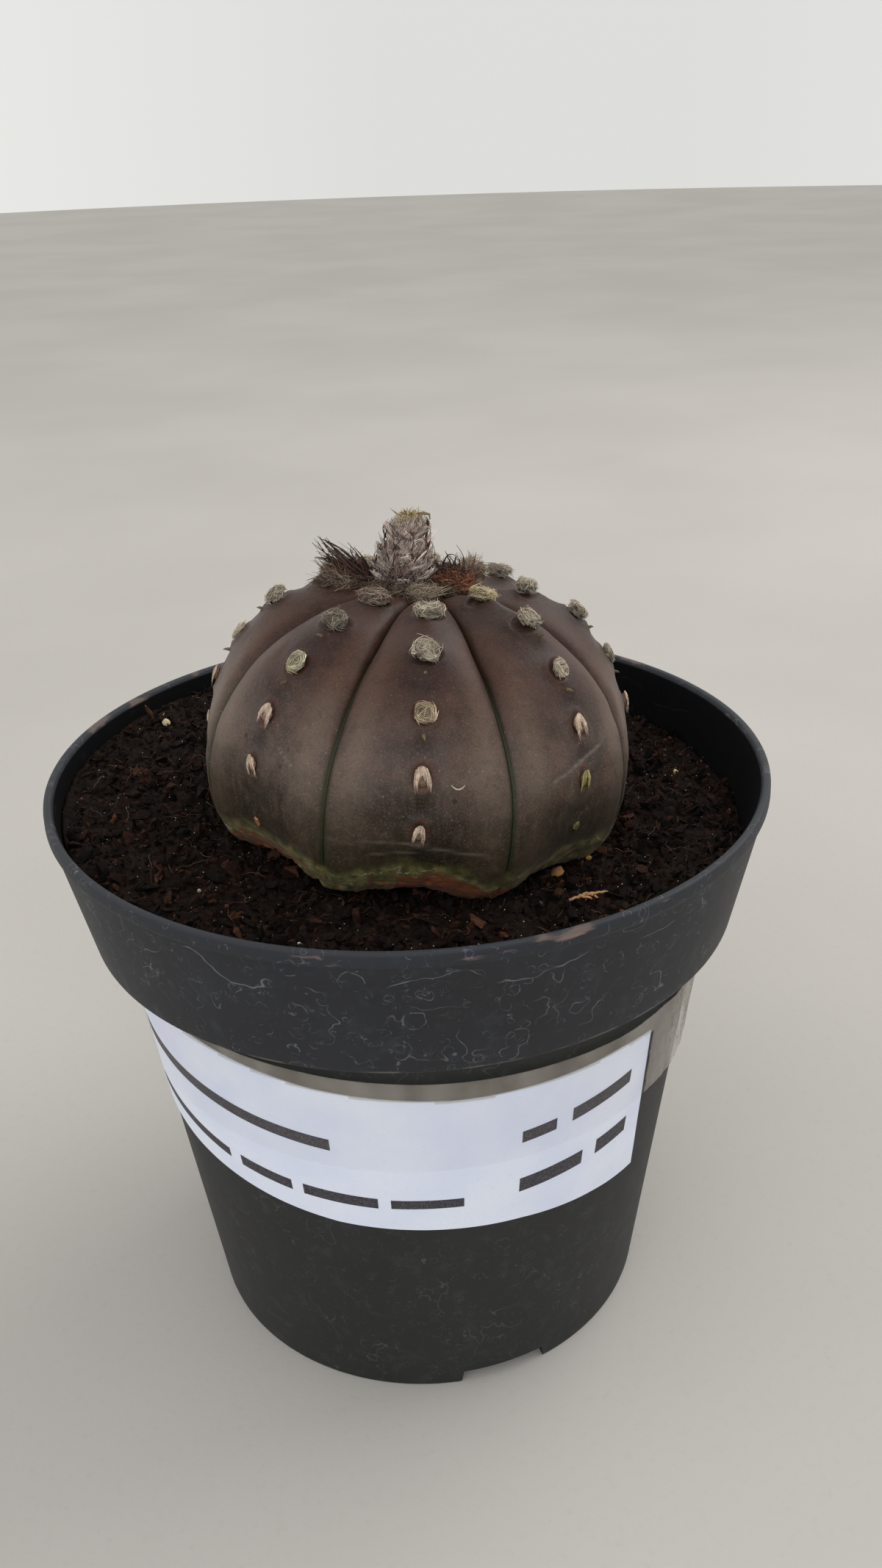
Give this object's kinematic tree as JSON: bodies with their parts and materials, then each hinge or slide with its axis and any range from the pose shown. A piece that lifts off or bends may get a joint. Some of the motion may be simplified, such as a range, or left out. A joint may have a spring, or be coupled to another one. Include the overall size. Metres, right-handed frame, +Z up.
{
  "type": "potted star cactus",
  "caption": "Ribbed globe cactus with woolly areoles and a woolly fruit on its crown, in dark soil in a tapered plastic pot with a plain taped label.",
  "frame": {"origin": "centre of the pot's foot, on the surface it stands on", "axes": "+Z up along the pot's axis; -Y is the front, where one rib of the stem and the label face"},
  "size_m": [0.15, 0.15, 0.1818],
  "materials": {
    "pot_plastic": "matte charcoal with dried water marks",
    "soil_peat": "dark damp peat crumbs",
    "stem_skin": "waxy brown-purple skin, green in the grooves and corky at the foot",
    "areole_wool": "felted grey-cream wool",
    "fruit_wool": "pinkish-grey wool with dark bristles",
    "dried_dark": "dry dark brown fibres",
    "dried_rust": "dry rust-brown fibres",
    "label_paper": "plain white paper with plain printed bars",
    "tape_film": "clear adhesive tape"
  },
  "bodies": {
    "root": {"pot": "pot_plastic", "soil": "soil_peat", "cactus_body": "stem_skin", "crown_wool": "fruit_wool", "woolly_fruit": "fruit_wool", "dried_flower_left": "dried_dark", "dried_flower_right": "dried_rust", "paper_label": "label_paper", "clear_tape": "tape_film", "areole_0_0": "areole_wool", "areole_0_1": "areole_wool", "areole_0_2": "areole_wool", "areole_0_3": "areole_wool", "areole_0_4": "areole_wool", "areole_0_5": "areole_wool", "areole_1_0": "areole_wool", "areole_1_1": "areole_wool", "areole_1_2": "areole_wool", "areole_1_3": "areole_wool", "areole_1_4": "areole_wool", "areole_1_5": "areole_wool", "areole_2_0": "areole_wool", "areole_2_1": "areole_wool", "areole_2_2": "areole_wool", "areole_2_3": "areole_wool", "areole_2_4": "areole_wool", "areole_2_5": "areole_wool", "areole_3_0": "areole_wool", "areole_3_1": "areole_wool", "areole_3_2": "areole_wool", "areole_3_3": "areole_wool", "areole_3_4": "areole_wool", "areole_4_0": "areole_wool", "areole_4_1": "areole_wool", "areole_4_2": "areole_wool", "areole_4_3": "areole_wool", "areole_4_4": "areole_wool", "areole_5_0": "areole_wool", "areole_5_1": "areole_wool", "areole_5_2": "areole_wool", "areole_5_3": "areole_wool", "areole_5_4": "areole_wool", "areole_6_0": "areole_wool", "areole_6_1": "areole_wool", "areole_6_2": "areole_wool", "areole_6_3": "areole_wool", "areole_6_4": "areole_wool", "areole_6_5": "areole_wool", "areole_7_0": "areole_wool", "areole_7_1": "areole_wool", "areole_7_2": "areole_wool", "areole_7_3": "areole_wool", "areole_7_4": "areole_wool", "areole_7_5": "areole_wool"}
  },
  "joints": []
}
